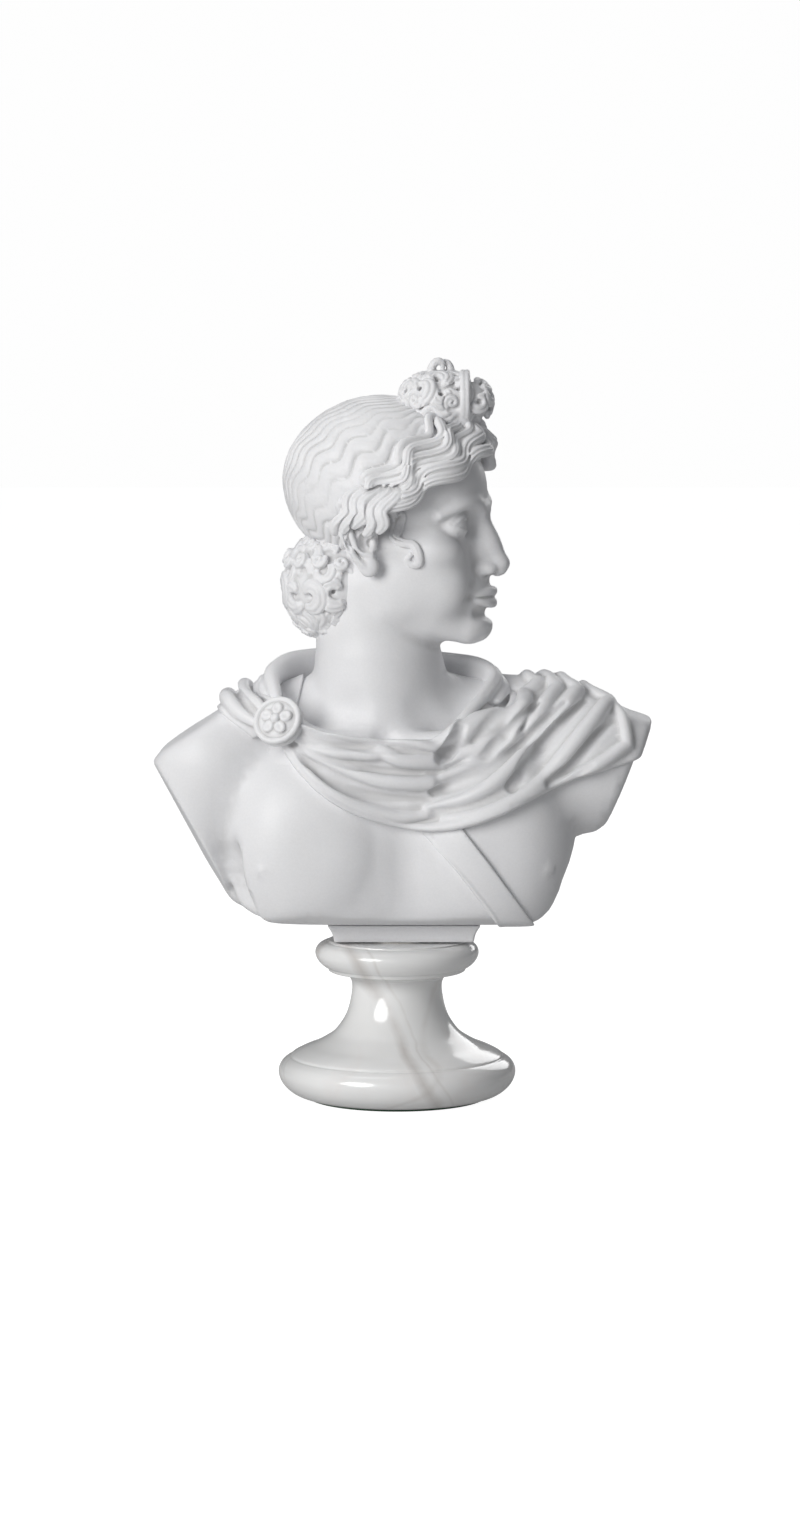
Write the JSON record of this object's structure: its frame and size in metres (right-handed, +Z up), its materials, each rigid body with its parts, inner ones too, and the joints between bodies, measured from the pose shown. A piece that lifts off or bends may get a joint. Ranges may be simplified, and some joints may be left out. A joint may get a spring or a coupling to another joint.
{
  "type": "marble bust",
  "caption": "Half-life-size white marble bust of a youth with a topknot and a brooched cloak, head turned to his left, on a turned veined marble socle.",
  "frame": {"origin": "centre of the felt's underside, where the bust stands", "axes": "+Z up along the socle's axis and the stud, -Y out of the chest's front, +X towards the figure's left shoulder, which is also the way the head looks"},
  "size_m": [0.246, 0.119, 0.3715],
  "materials": {
    "white_marble": "satin",
    "veined_marble": "polished",
    "bedding_mortar": "matte",
    "felt": "matte",
    "steel": "satin",
    "brass": "satin"
  },
  "bodies": {
    "socle_body": {"socle": "veined_marble", "felt_pad": "felt"},
    "bust_body": {"bedding_ring": "bedding_mortar", "plinth_block": "white_marble", "torso": "white_marble", "neck": "white_marble", "head": "white_marble", "ear_right": "white_marble", "ear_left": "white_marble", "hair_cap": "white_marble", "hair_roll_right": "white_marble", "hair_roll_left": "white_marble", "topknot": "white_marble", "nape_curls": "white_marble", "temple_curl_right": "white_marble", "temple_curl_left": "white_marble", "cloak_front": "white_marble", "cloak_back": "white_marble", "neck_fold": "white_marble", "shoulder_pleats": "white_marble", "brooch": "white_marble", "baldric": "white_marble", "stud": "steel", "anchor_sleeve": "brass", "washer": "steel", "spring_washer": "steel", "nut": "steel"}
  },
  "joints": [
    {"name": "bust_swivel", "type": "hinge", "parent": "socle_body", "child": "bust_body", "pos_m": [0, 0, 0.08], "axis": [0, 0, 1], "continuous": true}
  ]
}
